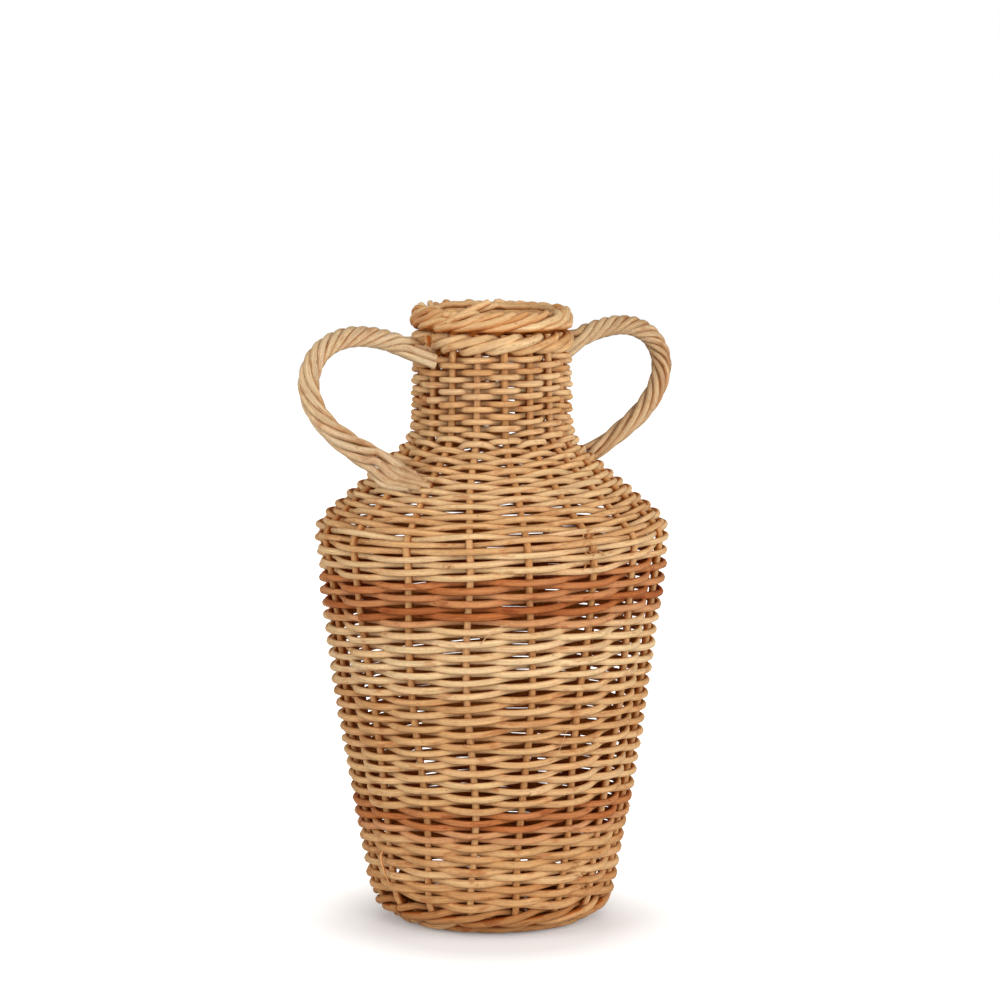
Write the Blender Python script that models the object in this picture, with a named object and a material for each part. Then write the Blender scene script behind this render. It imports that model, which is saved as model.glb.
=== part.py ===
"""Wicker vase in the shape of a shouldered jar, with a narrow neck, an open mouth and two rope handles.

Metres, +Z up. The origin is on the floor, on the vase's axis. The handles stand along X.

Nine rods cross in the middle of the base, fan out, turn up at the heel and make the upright stakes.
One rod after another is woven in and out of them in a rising spiral, over one stake and under the next.
Three-rod wales lock the base edge, the heel and the mouth, and a rolled border closes the rim.
"""

import math

import bmesh
import bpy
from mathutils import Vector
from mathutils.geometry import interpolate_bezier

# The rods, the flats that stand for a round one, and the gap that two touching rods keep
RODS_ABOVE = 4
RODS_BELOW = 4
STAKE_DIAMETER = 0.0046
WEAVER_HEIGHT = 0.0040
WEAVER_DEPTH = 0.0042
ROD_FLATS = 4
ROD_ROUGHNESS = 0.62
ROW_GAP = 0.0004
CLEARANCE = 0.00035
STAKES = 2 * (RODS_ABOVE + RODS_BELOW) + 1
STAKE_ANGLE = 2 * math.pi / STAKES
STAKE_RADIUS = STAKE_DIAMETER / 2
ROW_PITCH = WEAVER_HEIGHT + ROW_GAP
WALE_RODS = 3
WALE_BAND = WALE_RODS * ROW_PITCH

# The wall, measured on the stakes' centre line: its corners, and how round each corner is
HEEL_RADIUS = 0.0765
HEEL_FILLET = 0.0235
SHOULDER_RADIUS = 0.1152
SHOULDER_HEIGHT = 0.2645
SHOULDER_FILLET = 0.0100
NECK_RADIUS = 0.0484
NECK_HEIGHT = 0.3230
NECK_FILLET = 0.0260
MOUTH_RADIUS = 0.0466
WALL_SWELL = 0.0018
BASE_RISE = 0.0060

# How many straight pieces stand for each curve of the wall
HEEL_STEPS = 4
BODY_STEPS = 2
SHOULDER_STEPS = 3
NECK_STEPS = 2

# Where the woven zones begin and end: a radius on the base, then heights above the floor, below the
# shoulder's corner and on both sides of the neck's foot
BASE_WEAVE_START = 0.0335
LOWER_BAND_RISE = 0.0670
LOWER_BAND_WIDTH = 0.0225
UPPER_BAND_DROP = 0.0235
UPPER_BAND_WIDTH = 0.0310
NECK_WEAVE_DROP = 0.0040
NECK_WEAVE_RISE = 0.0585
LOWER_BAND_TOP = LOWER_BAND_RISE + LOWER_BAND_WIDTH
UPPER_BAND_TOP = SHOULDER_HEIGHT - UPPER_BAND_DROP
UPPER_BAND_BOTTOM = UPPER_BAND_TOP - UPPER_BAND_WIDTH
NECK_WEAVE_BOTTOM = NECK_HEIGHT - NECK_WEAVE_DROP
NECK_WEAVE_TOP = NECK_HEIGHT + NECK_WEAVE_RISE
RIM_WALE_TOP = NECK_WEAVE_TOP + WALE_BAND

# How many rods weave each zone. A new one takes over just past a stake that the old one ends behind, at a
# share of the way to the next
FOOT_ROD_COUNT = 2
BODY_ROD_COUNT = 6
SHOULDER_ROD_COUNT = 4
NECK_ROD_COUNT = 3
JOIN_PAST_STAKE = 0.15

# The cross of rods in the middle of the base, and the strand that binds it
CROSS_LANE = STAKE_DIAMETER + ROW_GAP
CROSS_STRAIGHT = 0.0240
CROSS_SPLAY = 0.5
BINDING_DIAMETER = 0.0040
BINDING_ROUNDS = 2

# The rolled border: strands laid round each other like a rope, one of them lowest over each stake
BORDER_STRANDS = 4
BORDER_STRAND_DIAMETER = 0.0060
BORDER_LAY_RADIUS = 0.0052
BORDER_POINTS_PER_STAKE = 2

# The handles: strands laid round a core rod. Each place is a distance from the axis and a height, which
# is counted from the rim for the upper end, the top and the reach, and from the neck's foot below them
HANDLE_STRANDS = 6
HANDLE_STRAND_DIAMETER = 0.0037
HANDLE_LAY_RADIUS = 0.0050
HANDLE_CORE_DIAMETER = 0.0044
HANDLE_TURNS = 4
HANDLE_POINTS_PER_TURN = 8
HANDLE_ROUTE_STEPS = 24
HANDLE_UPPER_DROP = 0.0187
HANDLE_TOP = (0.1050, -0.0002)
HANDLE_REACH = (0.1450, -0.0317)
HANDLE_UNDERSIDE = (0.1120, 0.0005)
HANDLE_LOWER_DROP = 0.0210
HANDLE_STRAIGHT_END = 0.0040
HANDLE_UPPER_HEIGHT = RIM_WALE_TOP - HANDLE_UPPER_DROP
HANDLE_LOWER_HEIGHT = NECK_HEIGHT - HANDLE_LOWER_DROP


def swing(radius):
    """How far a weaver's centre stands off the stakes, so that its straight runs clear them."""
    spacing = 2 * radius * math.sin(STAKE_ANGLE / 2)
    half_depth = WEAVER_DEPTH / 2
    reach = STAKE_RADIUS + CLEARANCE
    slack = 1 - (2 * reach / spacing) ** 2
    root = math.sqrt(half_depth ** 2 - slack * (half_depth ** 2 - reach ** 2))
    return (half_depth + root) / slack


def outward(way):
    return Vector((way.y, -way.x))


def fillet_cut(before, corner, after, fillet):
    """The length that a fillet takes from each side of its corner."""
    turn = (corner - before).angle(after - corner)
    return fillet * math.tan(turn / 2)


def rounded(before, corner, after, fillet, steps):
    """The points and outward normals of the arc that rounds one corner of the outline."""
    way_in = (corner - before).normalized()
    way_out = (after - corner).normalized()
    bulges = way_in.x * way_out.y > way_in.y * way_out.x
    side = 1 if bulges else -1
    start = corner - way_in * fillet_cut(before, corner, after, fillet)
    centre = start - outward(way_in) * fillet * side
    arc = []
    for step in range(steps + 1):
        normal = outward(way_in).slerp(outward(way_out), step / steps)
        arc.append((centre + normal * fillet * side, normal))
    return arc


def swollen(start, end, steps):
    """Points between two places on the outline, standing proud in the middle."""
    run = []
    for step in range(1, steps):
        share = step / steps
        point, normal = start[0].lerp(end[0], share), start[1].slerp(end[1], share)
        run.append((point + normal * WALL_SWELL * math.sin(math.pi * share), normal))
    return run


# The base wale lies on a flat ring that ends where the heel's arc begins
STAND_RADIUS = (
    HEEL_RADIUS
    - fillet_cut(
        Vector((0, 0)),
        Vector((HEEL_RADIUS, 0)),
        Vector((SHOULDER_RADIUS, SHOULDER_HEIGHT)),
        HEEL_FILLET,
    )
    - WALE_BAND
)
BASE_LEVEL = swing(STAND_RADIUS) + WEAVER_DEPTH / 2


def wall_outline():
    """The stakes' centre line from the middle of the base to the rim, as (radius, height) and normal."""
    centre = Vector((0, BASE_LEVEL + BASE_RISE))
    stand = Vector((STAND_RADIUS, BASE_LEVEL))
    heel = Vector((HEEL_RADIUS, BASE_LEVEL))
    shoulder = Vector((SHOULDER_RADIUS, SHOULDER_HEIGHT))
    neck = Vector((NECK_RADIUS, NECK_HEIGHT))
    mouth = Vector((MOUTH_RADIUS, RIM_WALE_TOP))
    heel_arc = rounded(stand, heel, shoulder, HEEL_FILLET, HEEL_STEPS)
    shoulder_arc = rounded(heel, shoulder, neck, SHOULDER_FILLET, SHOULDER_STEPS)
    neck_arc = rounded(shoulder, neck, mouth, NECK_FILLET, NECK_STEPS)
    body = swollen(heel_arc[-1], shoulder_arc[0], BODY_STEPS)
    base = [(centre, outward(stand - centre).normalized()), (stand, outward(heel - stand).normalized())]
    rim = [(mouth, outward(mouth - neck).normalized())]
    return base + heel_arc + body + shoulder_arc + neck_arc + rim


OUTLINE = wall_outline()
LENGTHS = [0.0]
for here, there in zip(OUTLINE, OUTLINE[1:]):
    LENGTHS.append(LENGTHS[-1] + (there[0] - here[0]).length)


def station(length):
    """The point and the outward normal at a length along the outline."""
    index = 0
    while index < len(LENGTHS) - 2 and LENGTHS[index + 1] < length:
        index += 1
    share = (length - LENGTHS[index]) / (LENGTHS[index + 1] - LENGTHS[index])
    start, end = OUTLINE[index], OUTLINE[index + 1]
    return start[0].lerp(end[0], share), start[1].lerp(end[1], share).normalized()


def length_at(axis, value):
    """How far along the outline its radius (axis 0) or its height (axis 1) first rises past a value."""
    for index in range(len(OUTLINE) - 1):
        low, high = OUTLINE[index][0][axis], OUTLINE[index + 1][0][axis]
        if low <= value < high:
            return LENGTHS[index] + (value - low) / (high - low) * (LENGTHS[index + 1] - LENGTHS[index])
    raise ValueError("no place on the outline has that radius or height")


def around(count):
    """The angle of a stake, counted from the one behind the left handle and rising to the right."""
    return math.pi + count * STAKE_ANGLE


def in_space(point, angle):
    return Vector((point.x * math.cos(angle), point.x * math.sin(angle), point.y))


collection = bpy.data.collections.new("wicker_vase")


def start_scene():
    for item in list(bpy.data.objects):
        bpy.data.objects.remove(item, do_unlink=True)
    bpy.context.scene.collection.children.link(collection)


def wicker(name, colour):
    """Peeled rod: a pale, dry wood with a faint natural polish."""
    material = bpy.data.materials.new(name)
    material.use_nodes = True
    shader = material.node_tree.nodes["Principled BSDF"]
    shader.inputs["Base Color"].default_value = (*colour, 1)
    shader.inputs["Roughness"].default_value = ROD_ROUGHNESS
    shader.inputs["Metallic"].default_value = 0
    return material


def add_object(name, data, material):
    item = bpy.data.objects.new(name, data)
    item.data.materials.append(material)
    collection.objects.link(item)
    return item


def add_tube(name, points, diameter, material):
    """A rod of round section along a line of points."""
    curve = bpy.data.curves.new(name, "CURVE")
    curve.dimensions = "3D"
    curve.bevel_depth = diameter / 2
    curve.bevel_resolution = ROD_FLATS // 2 - 2
    curve.use_fill_caps = True
    spline = curve.splines.new("POLY")
    spline.points.add(len(points) - 1)
    for slot, point in zip(spline.points, points):
        slot.co = (*point, 1)
    return add_object(name, curve, material)


def add_woven_rod(name, sections, material):
    """A rod whose section is set at each stake it passes, drawn out from one section to the next."""
    mesh = bmesh.new()
    end_cap = mesh.faces.new([mesh.verts.new(corner) for corner in sections[0]])
    face = end_cap
    for section in sections[1:]:
        drawn = bmesh.ops.extrude_face_region(mesh, geom=[face])["geom"]
        if face is not end_cap:
            bmesh.ops.delete(mesh, geom=[face], context="FACES_ONLY")
        face = next(part for part in drawn if isinstance(part, bmesh.types.BMFace))
        for vert, corner in zip(face.verts, section):
            vert.co = corner
    bmesh.ops.recalc_face_normals(mesh, faces=mesh.faces)
    data = bpy.data.meshes.new(name)
    mesh.to_mesh(data)
    mesh.free()
    return add_object(name, data, material)


def rod_section(length, offset, count):
    """A weaver's section beside a stake: flat on the outside and narrow within."""
    point, normal = station(length)
    along = Vector((-normal.y, normal.x))
    centre = point + normal * offset
    face = centre + normal * WEAVER_DEPTH / 2
    corners = (
        face + along * WEAVER_HEIGHT / 2,
        face - along * WEAVER_HEIGHT / 2,
        centre - normal * WEAVER_DEPTH / 2,
    )
    return [in_space(corner, around(count)) for corner in corners]


def sections_between(start, end, section_at):
    """The sections of a rod from one place to another, both counted in stakes and between two of them."""

    def between(place):
        low = math.floor(place)
        share = place - low
        return [a.lerp(b, share) for a, b in zip(section_at(low), section_at(low + 1))]

    whole = [section_at(count) for count in range(math.floor(start) + 1, math.ceil(end))]
    return [between(start)] + whole + [between(end)]


def end_gap(length):
    """Half the gap between two rods that meet end to end, as a share of the way between two stakes."""
    spacing = station(length)[0].x * STAKE_ANGLE
    return CLEARANCE / spacing


def add_weave(name, first, last, origin, material):
    """Plain weaving from one inside stake to another, both counted from the spiral's own start."""

    def section_at(count):
        length = origin + ROW_PITCH * count / STAKES
        side = 1 if count % 2 == 0 else -1
        return rod_section(length, side * swing(station(length)[0].x), count)

    start = first + JOIN_PAST_STAKE + end_gap(origin + ROW_PITCH * first / STAKES)
    end = last + JOIN_PAST_STAKE - end_gap(origin + ROW_PITCH * last / STAKES)
    return add_woven_rod(name, sections_between(start, end, section_at), material)


def add_wale(name, bottom, material):
    """Three rods, each passing outside two stakes and inside the third, and rising as it goes outside."""
    middle = bottom + WALE_BAND / 2
    stand_off = swing(min(station(bottom)[0].x, station(bottom + WALE_BAND)[0].x))
    places = ((middle, -stand_off), (middle - ROW_PITCH, stand_off), (middle + ROW_PITCH, stand_off))
    for rod in range(WALE_RODS):

        def section_at(count):
            length, offset = places[(count - rod) % WALE_RODS]
            return rod_section(length, offset, count)

        gap = end_gap(middle)
        sections = sections_between(gap, STAKES - gap, section_at)
        add_woven_rod(f"{name}_{rod + 1}", sections, material)


def add_stakes(material):
    """Rods laid across each other in the base: each goes up the wall on both sides, and one on one side."""
    centre_height = OUTLINE[0][0].y
    lift = STAKE_RADIUS + CLEARANCE / 2
    fan = length_at(0, BASE_WEAVE_START)
    lengths = [fan] + [length for length in LENGTHS if length > fan]

    def upright(count):
        return [in_space(station(length)[0], around(count)) for length in lengths]

    right_first = round(STAKES / 2 - (RODS_ABOVE - 1) / 2)
    top_first = right_first + RODS_ABOVE
    left_first = top_first + RODS_BELOW + 1
    bottom_first = left_first + RODS_ABOVE
    rods = []
    for rod in range(RODS_ABOVE):
        y = (rod - (RODS_ABOVE - 1) / 2) * CROSS_LANE
        bend = CROSS_STRAIGHT - CROSS_SPLAY * abs(y)
        height = centre_height + lift
        straight = [Vector((-bend, y, height)), Vector((bend, y, height))]
        left = upright(left_first + RODS_ABOVE - 1 - rod)
        rods.append(left[::-1] + straight + upright(right_first + rod))
    for rod in range(RODS_BELOW):
        x = (RODS_BELOW / 2 - rod) * CROSS_LANE
        bend = CROSS_STRAIGHT - CROSS_SPLAY * abs(x)
        height = centre_height - lift
        straight = [Vector((x, -bend, height)), Vector((x, bend, height))]
        low = upright(bottom_first + RODS_BELOW - 1 - rod)
        rods.append(low[::-1] + straight + upright(top_first + rod))
    for index, points in enumerate(rods):
        add_tube(f"stake_rod_{index + 1}", points, STAKE_DIAMETER, material)
    x = -RODS_BELOW / 2 * CROSS_LANE
    bend = CROSS_STRAIGHT - CROSS_SPLAY * abs(x)
    tucked = -RODS_ABOVE / 2 * CROSS_LANE
    height = centre_height - lift
    straight = [Vector((x, tucked, height)), Vector((x, bend, height))]
    add_tube("stake_half_rod", straight + upright(top_first + RODS_BELOW), STAKE_DIAMETER, material)


def add_binding(material):
    """The strand that ties the cross: over the upper rods and under the lower ones, round and round."""
    radius = BINDING_DIAMETER / 2
    lift = STAKE_DIAMETER + radius + 2 * CLEARANCE
    clear_above = RODS_ABOVE / 2 * CROSS_LANE + radius
    clear_below = (RODS_BELOW + 1) / 2 * CROSS_LANE + radius
    points = []
    for quarter in range(4 * BINDING_ROUNDS):
        crosses_above = quarter % 2 == 0
        wide, out = (clear_above, clear_below) if crosses_above else (clear_below, clear_above)
        grown = quarter // 4 * (BINDING_DIAMETER + ROW_GAP)
        height = OUTLINE[0][0].y + (lift if crosses_above else -lift)
        angle = quarter * math.pi / 2
        ahead = Vector((math.cos(angle), math.sin(angle), 0)) * (out + grown)
        across = Vector((-math.sin(angle), math.cos(angle), 0)) * (wide + grown)
        points.append(ahead - across + Vector((0, 0, height)))
        points.append(ahead + across + Vector((0, 0, height)))
    add_tube("base_binding", points, BINDING_DIAMETER, material)


def add_border(material):
    """The rolled border: strands laid round each other along the rim, each meeting another one's start.

    Their square ends meet at an angle, so each stops a quarter of its thickness short.
    """
    turns = STAKES / BORDER_STRANDS
    steps = STAKES * BORDER_POINTS_PER_STAKE
    middle = RIM_WALE_TOP + CLEARANCE + BORDER_LAY_RADIUS + BORDER_STRAND_DIAMETER / 2
    gap = BORDER_STRAND_DIAMETER / 4 / (2 * math.pi * MOUTH_RADIUS)
    for strand in range(BORDER_STRANDS):
        points = []
        for step in range(steps + 1):
            share = gap + (1 - 2 * gap) * step / steps
            twist = 2 * math.pi * (turns * share + strand / BORDER_STRANDS)
            place = Vector((MOUTH_RADIUS, middle))
            place += BORDER_LAY_RADIUS * Vector((math.cos(twist), math.sin(twist)))
            points.append(in_space(place, around(STAKES * share)))
        add_tube(f"border_strand_{strand + 1}", points, BORDER_STRAND_DIAMETER, material)


def seat(height, on_stake, half_width):
    """Where an end of that width meets the weave, just proud of the rods under it, and the way out."""
    point, normal = station(length_at(1, height))
    half_spacing = point.x * STAKE_ANGLE / 2
    aside = 0 if on_stake else max(0, half_spacing - half_width)
    proud = swing(point.x) * (1 - aside / half_spacing) + WEAVER_DEPTH / 2 + CLEARANCE
    return point + normal * proud, normal


def handle_route(on_stake):
    """A smooth line from the neck out, over and down to the shoulder, square to the wall at both ends."""
    half_width = HANDLE_LAY_RADIUS + HANDLE_STRAND_DIAMETER / 2
    upper, upper_normal = seat(HANDLE_UPPER_HEIGHT, on_stake, half_width)
    lower, lower_normal = seat(HANDLE_LOWER_HEIGHT, on_stake, half_width)
    rim = Vector((0, RIM_WALE_TOP))
    foot = Vector((0, NECK_HEIGHT))
    middle = [rim + Vector(HANDLE_TOP), rim + Vector(HANDLE_REACH), foot + Vector(HANDLE_UNDERSIDE)]
    knots = [upper] + middle + [lower]
    ways = [(after - before) / 2 for before, after in zip(knots, knots[2:])]
    ways = [upper_normal * ways[0].length] + ways + [-lower_normal * ways[-1].length]
    route = []
    for i in range(len(knots) - 1):
        leave = knots[i] + ways[i] / 3
        arrive = knots[i + 1] - ways[i + 1] / 3
        run = interpolate_bezier(knots[i], leave, arrive, knots[i + 1], HANDLE_ROUTE_STEPS)
        route += [Vector(point[:2]) for point in run[:-1]]
    return route + [lower]


def along(route, marks):
    """The place and the unit direction of a route at each of the given lengths along it."""
    found = []
    passed = 0
    index = 0
    for mark in marks:
        while index < len(route) - 2 and passed + (route[index + 1] - route[index]).length < mark:
            passed += (route[index + 1] - route[index]).length
            index += 1
        way = (route[index + 1] - route[index]).normalized()
        found.append((route[index] + way * (mark - passed), way))
    return found


def add_handle(name, angle, on_stake, material):
    """A rope handle: strands laid left-handed round a core rod, and straight for a little way at each end.

    Between two stakes the wall has a hollow, and the core's ends go on into it.
    """
    route = handle_route(on_stake)
    total = sum((there - here).length for here, there in zip(route, route[1:]))
    steps = HANDLE_TURNS * HANDLE_POINTS_PER_TURN
    laid = total - 2 * HANDLE_STRAIGHT_END
    shares = [0] + [step / steps for step in range(steps + 1)] + [1]
    marks = [0] + [HANDLE_STRAIGHT_END + laid * share for share in shares[1:-1]] + [total]
    places = along(route, marks)
    core = [place for place, way in places]
    core[0] = seat(HANDLE_UPPER_HEIGHT, on_stake, HANDLE_CORE_DIAMETER / 4)[0]
    core[-1] = seat(HANDLE_LOWER_HEIGHT, on_stake, HANDLE_CORE_DIAMETER / 4)[0]
    add_tube(f"{name}_core", [in_space(place, angle) for place in core], HANDLE_CORE_DIAMETER, material)
    beside = Vector((-math.sin(angle), math.cos(angle), 0))
    for strand in range(HANDLE_STRANDS):
        points = []
        for (place, way), share in zip(places, shares):
            twist = -2 * math.pi * (HANDLE_TURNS * share + strand / HANDLE_STRANDS)
            lean = HANDLE_LAY_RADIUS * math.cos(twist)
            point = in_space(place + outward(way) * lean, angle)
            points.append(point + beside * HANDLE_LAY_RADIUS * math.sin(twist))
        add_tube(f"{name}_strand_{strand + 1}", points, HANDLE_STRAND_DIAMETER, material)


def inside_stake(length, origin):
    """The stake nearest to a length along a spiral that the rod passes on the inside."""
    return 2 * round((length - origin) / ROW_PITCH * STAKES / 2 - 0.5) + 1


def add_zones(origin, zones):
    """Rods that follow each other up one spiral, so many to a zone, each from the end of the last."""
    first = 1
    bottom = origin
    for name, top, rods, material in zones:
        for rod in range(rods):
            last = inside_stake(bottom + (top - bottom) * (rod + 1) / rods, origin)
            add_weave(name if rods == 1 else f"{name}_{rod + 1}", first, last, origin, material)
            first = last
        bottom = top


start_scene()

straw = wicker("natural_rod", (0.66, 0.44, 0.22))
golden = wicker("golden_rod", (0.58, 0.33, 0.13))
russet = wicker("russet_rod", (0.50, 0.21, 0.075))
stake = wicker("stake_rod", (0.60, 0.36, 0.14))

stand = length_at(0, STAND_RADIUS)
foot_wale_start = stand + 2 * WALE_BAND
foot_weave_start = stand + 3 * WALE_BAND
rim_bottom = length_at(1, NECK_WEAVE_TOP)
base_start = length_at(0, BASE_WEAVE_START)
base_rows = round((stand - base_start) / ROW_PITCH)
base_end = stand - ROW_PITCH / 2

add_stakes(stake)
add_binding(straw)
add_zones(base_end - (base_rows - 1) * ROW_PITCH, [("base_weave", base_end, 1, straw)])
add_wale("base_wale", stand, golden)
add_wale("heel_wale", stand + WALE_BAND, golden)
add_wale("foot_wale", foot_wale_start, golden)
add_zones(foot_weave_start + ROW_PITCH / 2, [
    ("foot_weave", length_at(1, LOWER_BAND_RISE), FOOT_ROD_COUNT, straw),
    ("lower_band", length_at(1, LOWER_BAND_TOP), 1, russet),
    ("body_weave", length_at(1, UPPER_BAND_BOTTOM), BODY_ROD_COUNT, straw),
    ("upper_band", length_at(1, UPPER_BAND_TOP), 1, russet),
    ("shoulder_weave", length_at(1, NECK_WEAVE_BOTTOM), SHOULDER_ROD_COUNT, straw),
    ("neck_weave", rim_bottom - ROW_PITCH / 2, NECK_ROD_COUNT, straw),
])
add_wale("rim_wale", rim_bottom, straw)
add_border(straw)
add_handle("left_handle", math.pi, True, straw)
add_handle("right_handle", 0, False, straw)
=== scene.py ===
import math
import random

import bmesh
import bpy
import numpy as np
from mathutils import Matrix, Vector
from mathutils.geometry import interpolate_bezier


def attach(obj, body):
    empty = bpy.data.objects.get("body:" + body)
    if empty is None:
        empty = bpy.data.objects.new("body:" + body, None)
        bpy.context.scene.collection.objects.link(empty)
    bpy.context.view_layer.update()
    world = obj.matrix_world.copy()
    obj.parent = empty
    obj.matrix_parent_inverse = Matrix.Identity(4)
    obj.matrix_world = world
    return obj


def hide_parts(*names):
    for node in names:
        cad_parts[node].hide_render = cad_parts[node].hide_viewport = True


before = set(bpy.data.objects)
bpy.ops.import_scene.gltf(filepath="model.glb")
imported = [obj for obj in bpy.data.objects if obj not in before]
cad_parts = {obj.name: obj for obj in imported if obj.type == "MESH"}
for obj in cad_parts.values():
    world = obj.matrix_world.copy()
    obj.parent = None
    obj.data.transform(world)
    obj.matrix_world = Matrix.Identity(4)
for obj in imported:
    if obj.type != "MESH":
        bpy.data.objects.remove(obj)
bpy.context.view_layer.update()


# The wall's line: a basket keeps the line that its maker bent the stakes to, out over the base, round the
# heel, up the swelling body, in over the shoulder and up the narrow neck. Everything woven follows it.
stakes = 17
stake_step = 2 * math.pi / stakes
wale_band = 0.0132
stand_level = 0.0067
base_centre = Vector((0.0, stand_level + 0.0060))
stand_edge = Vector((0.0429, stand_level))
heel_corner = Vector((0.0765, stand_level))
shoulder_corner = Vector((0.1152, 0.2645))
neck_corner = Vector((0.0484, 0.3230))
mouth_edge = Vector((0.0466, 0.3947))


def rounded(before, corner, after, fillet):
    """The points of the bend that rounds one corner of the wall's line."""
    way_in, way_out = (corner - before).normalized(), (after - corner).normalized()
    turn = way_in.angle(way_out)
    cut, pull = fillet * math.tan(turn / 2), fillet * math.tan(turn / 4) * 4 / 3
    start, end = corner - way_in * cut, corner + way_out * cut
    return interpolate_bezier(start, start + way_in * pull, end - way_out * pull, end, 14)


heel_bend = rounded(stand_edge, heel_corner, shoulder_corner, 0.0235)
shoulder_bend = rounded(heel_corner, shoulder_corner, neck_corner, 0.0120)
neck_bend = rounded(shoulder_corner, neck_corner, mouth_edge, 0.0260)
wall_swell = 0.0018
body_swell = []
for share in np.linspace(0, 1, 16)[1:-1]:
    across = (shoulder_bend[0] - heel_bend[-1]).normalized()
    bulge = Vector((across.y, -across.x)) * wall_swell * math.sin(math.pi * share)
    body_swell.append(heel_bend[-1].lerp(shoulder_bend[0], share) + bulge)
bends = [base_centre, stand_edge] + heel_bend + body_swell + shoulder_bend + neck_bend + [mouth_edge]
bends = np.array([tuple(bend)[:2] for bend in bends])
bend_lengths = np.concatenate([[0], np.cumsum(np.hypot(*np.diff(bends, axis=0).T))])
line_length = np.arange(0, bend_lengths[-1], 0.001)
line = np.stack([np.interp(line_length, bend_lengths, bends[:, axis]) for axis in (0, 1)], axis=1)
line_way = np.gradient(line, axis=0)
for axis in (0, 1):
    padded_way = np.pad(line_way[:, axis], 3, mode="edge")
    line_way[:, axis] = np.convolve(padded_way, np.ones(7) / 7, mode="valid")
line_way /= np.linalg.norm(line_way, axis=1)[:, None]
mouth_length = line_length[-1]
stand_length = np.interp(stand_edge.x, line[:60, 0], line_length[:60])


def length_at(height):
    """How far along the wall's line a height on the wall is."""
    wall = line_length > stand_length + wale_band
    return np.interp(height, line[wall, 1], line_length[wall])


def height_at(lengths):
    """How high the wall is at a length along its line."""
    return np.interp(lengths, line_length, line[:, 1])


def wall_places(counts, lengths, out):
    """Places in space: so many stakes round, so far along the wall's line, and so far out of it."""
    counts, lengths, out = np.broadcast_arrays(counts, lengths, out)
    height = height_at(lengths)
    # The stakes lean: on the body they stand 3.4 degrees further round than on the neck
    lean = math.radians(3.4) * np.interp(height, (0.026, 0.086, 0.251, 0.321), (0.4, 1, 1, 0))
    angle = math.pi + counts * stake_step + lean
    # The rows of the body run up to 5.5 mm out of level, and wander by 1 mm
    tilt = 0.0055 * np.interp(height, (0.031, 0.116, 0.251, 0.316), (0, 0.5, 1, 0))
    waves = 0.0007 * np.sin(2 * angle + 31 * height) + 0.0005 * np.sin(5 * angle - 55 * height + 1.3)
    waves *= np.interp(height, (0.026, 0.056, 0.356, 0.376), (0, 1, 1, 0))
    lengths = lengths + tilt * np.sin(angle + math.radians(126.5)) + waves
    across, rise = (np.interp(lengths, line_length, line_way[:, axis]) for axis in (0, 1))
    radius = np.interp(lengths, line_length, line[:, 0]) + out * rise
    height = height_at(lengths) - out * across
    beyond = np.maximum(lengths - mouth_length, 0)
    # The wall is out of round by 1 mm
    uneven = 0.0007 * np.sin(2 * angle + 0.8) + 0.0004 * np.sin(3 * angle + 40 * height)
    radius = radius + uneven * np.interp(height, (0.026, 0.106, 0.306, 0.336), (0, 1, 1, 0.4))
    return np.c_[radius * np.cos(angle), radius * np.sin(angle), height + beyond]


# Peeled willow rod: cut, boiled, stripped of its bark and dried, so it is satin-matt and pale tan to russet,
# with fine lines along it, slow changes of colour, and a few brown flecks where buds and bark were. Its sheen
# is weak, since the grain scatters the light. Shade is painted in as a browner colour where rods touch and on
# their inner sides.
def linear(colour):
    """An sRGB hex colour as linear light."""
    parts = [int(colour[i:i + 2], 16) / 255 for i in (1, 3, 5)]
    return (*(part / 12.92 if part <= 0.04045 else ((part + 0.055) / 1.055) ** 2.4 for part in parts), 1)


def add_node(tree, kind, settings, inputs):
    """Adds a node with its settings, and gives each input a value or a link."""
    made = tree.nodes.new(kind)
    for setting, value in settings.items():
        setattr(made, setting, value)
    for name, value in inputs.items():
        if isinstance(value, bpy.types.NodeSocket):
            tree.links.new(value, made.inputs[name])
        else:
            made.inputs[name].default_value = value
    return made


def grain_noise(tree, grain, along, across, detail):
    """Noise in the rod's own grain, with marks so many millimetres long and wide."""
    scale = (1000 / along, 1000 / across, 1000 / across)
    place = add_node(tree, "ShaderNodeMapping", {}, {"Vector": grain, "Scale": scale}).outputs[0]
    noise = add_node(tree, "ShaderNodeTexNoise", {}, {"Vector": place, "Scale": 1.0, "Detail": detail})
    return noise.outputs["Fac"]


def ranged(tree, value, start, end, low, high):
    """The value between start and end, stretched to low and high."""
    made = add_node(tree, "ShaderNodeMapRange", {}, {"Value": value, 1: start, 2: end, 3: low, 4: high})
    return made.outputs[0]


def mixed(tree, blend, share, under, over):
    """Two colours blended, by a share of the second one."""
    settings = {"data_type": "RGBA", "blend_type": blend}
    return add_node(tree, "ShaderNodeMix", settings, {0: share, 6: under, 7: over}).outputs[2]


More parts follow.
